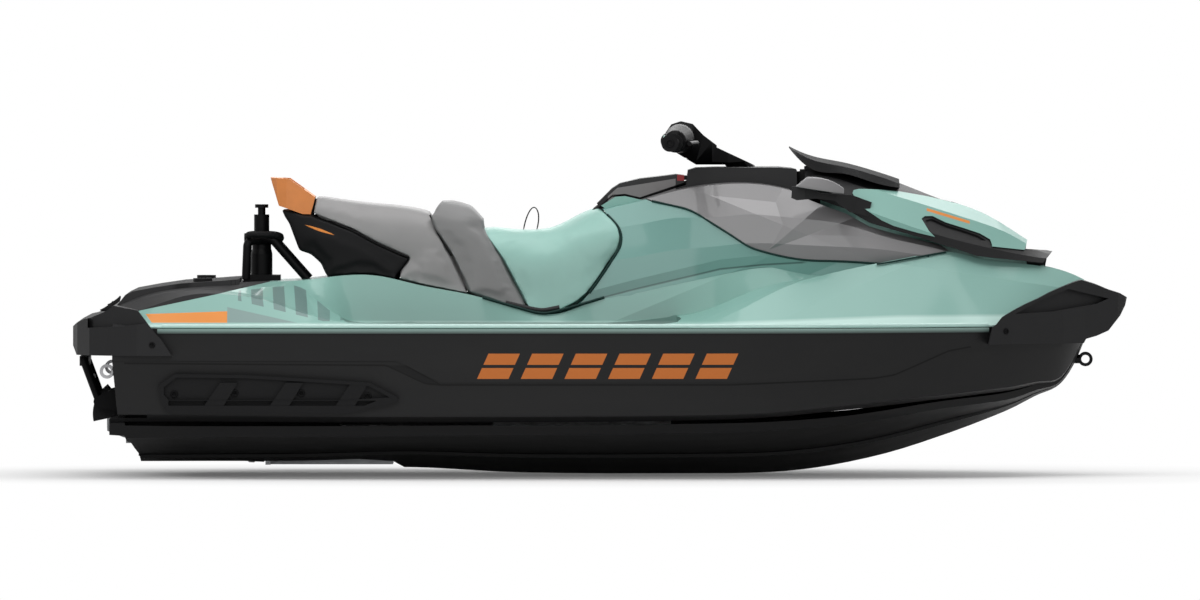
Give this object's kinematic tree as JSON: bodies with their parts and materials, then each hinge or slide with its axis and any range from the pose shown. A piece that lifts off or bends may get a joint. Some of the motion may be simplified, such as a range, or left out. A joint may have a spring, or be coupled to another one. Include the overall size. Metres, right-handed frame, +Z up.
{
  "type": "personal watercraft",
  "caption": "Two-up jet-drive personal watercraft with stepped hull, footwells, tow pylon, boarding ladder, opening hood and steered nozzle.",
  "frame": {"origin": "on the centreline at the rest waterline, midway between the bow tip and the stern", "axes": "+X forward to the bow, +Y to port, +Z up"},
  "size_m": [3.315, 1.2578, 1.1111],
  "materials": {
    "hull_black": "satin black gel",
    "teal": "gloss teal",
    "grey_panel": "gloss grey",
    "teal_vinyl": "smooth vinyl",
    "grey_vinyl": "smooth vinyl",
    "black_vinyl": "smooth vinyl",
    "orange": "satin orange",
    "pale_rail": "satin grey",
    "black_rubber": "satin",
    "black_plastic": "satin",
    "black_metal": "satin",
    "mat": "matt foam",
    "engine": "cast",
    "alloy": "cast",
    "steel": "brushed",
    "webbing": "woven webbing"
  },
  "bodies": {
    "hull": {"body_side_left": "teal", "body_side_right": "teal", "bow_bumper": "black_rubber", "cargo_anchors": "black_plastic", "deck": "teal", "deck_mats": "mat", "engine_block": "engine", "fairing_left": "grey_panel", "fairing_right": "grey_panel", "footwells": "hull_black", "front_bin": "black_plastic", "glovebox_bin": "black_plastic", "hull": "hull_black", "intake_grate": "alloy", "ladder_brackets": "black_metal", "pump_housing": "alloy", "pump_tunnel": "hull_black", "pylon_base": "black_metal", "ride_plate": "black_metal", "rub_rails": "pale_rail", "seat_base": "black_vinyl", "seat_bolster": "grey_vinyl", "seat_front": "teal_vinyl", "seat_handle": "orange", "seat_rear": "grey_vinyl", "seat_strap": "webbing", "sponson_left": "black_plastic", "sponson_right": "black_plastic", "steering_console": "black_plastic", "stern_bumper": "black_rubber", "tow_eyes": "steel"},
    "handlebar": {"handlebar": "black_metal", "grips": "black_rubber", "control_levers": "black_metal"},
    "nozzle": {"nozzle": "alloy"},
    "reverse_gate": {"reverse_gate": "black_plastic"},
    "impeller": {"impeller": "steel"},
    "hood": {"hood": "black_plastic", "hood_insert": "teal", "visor": "black_plastic", "gauge": "black_plastic", "mirrors": "grey_panel"},
    "glovebox_lid": {"glovebox_lid": "black_plastic"},
    "pylon_mast": {"pylon_mast": "black_metal"},
    "ladder": {"ladder": "black_metal"}
  },
  "joints": [
    {"name": "steering", "type": "hinge", "parent": "hull", "child": "handlebar", "pos_m": [0.44, 0, 0.7], "axis": [-0.5, 0, 0.866], "range_deg": [-25, 25]},
    {"name": "nozzle_turn", "type": "hinge", "parent": "hull", "child": "nozzle", "pos_m": [-1.484, 0, -0.078], "axis": [0, 0, 1], "range_deg": [-20, 20]},
    {"name": "gate_turn", "type": "hinge", "parent": "hull", "child": "reverse_gate", "pos_m": [-1.484, 0, -0.078], "axis": [0, 1, 0], "range_deg": [-40, 35]},
    {"name": "impeller_spin", "type": "hinge", "parent": "hull", "child": "impeller", "pos_m": [-1.3, 0, -0.078], "axis": [1, 0, 0], "continuous": true},
    {"name": "hood_lift", "type": "hinge", "parent": "hull", "child": "hood", "pos_m": [1.391, 0, 0.384], "axis": [0, 1, 0], "range_deg": [0, 45]},
    {"name": "lid_lift", "type": "hinge", "parent": "hull", "child": "glovebox_lid", "pos_m": [0.276, 0, 0.664], "axis": [0, 1, 0], "range_deg": [0, 24]},
    {"name": "mast_slide", "type": "slide", "parent": "hull", "child": "pylon_mast", "axis": [0, 0, 1], "range_m": [-0.15, 0]},
    {"name": "ladder_drop", "type": "hinge", "parent": "hull", "child": "ladder", "pos_m": [-1.578, 0, -0.038], "axis": [0, -1, 0], "range_deg": [0, 150], "stiffness_Nm_per_rad": 2, "springref_deg": -68.75}
  ],
  "couplings": [
    {"joint": "nozzle_turn", "follows": "steering", "ratio": -0.75}
  ]
}
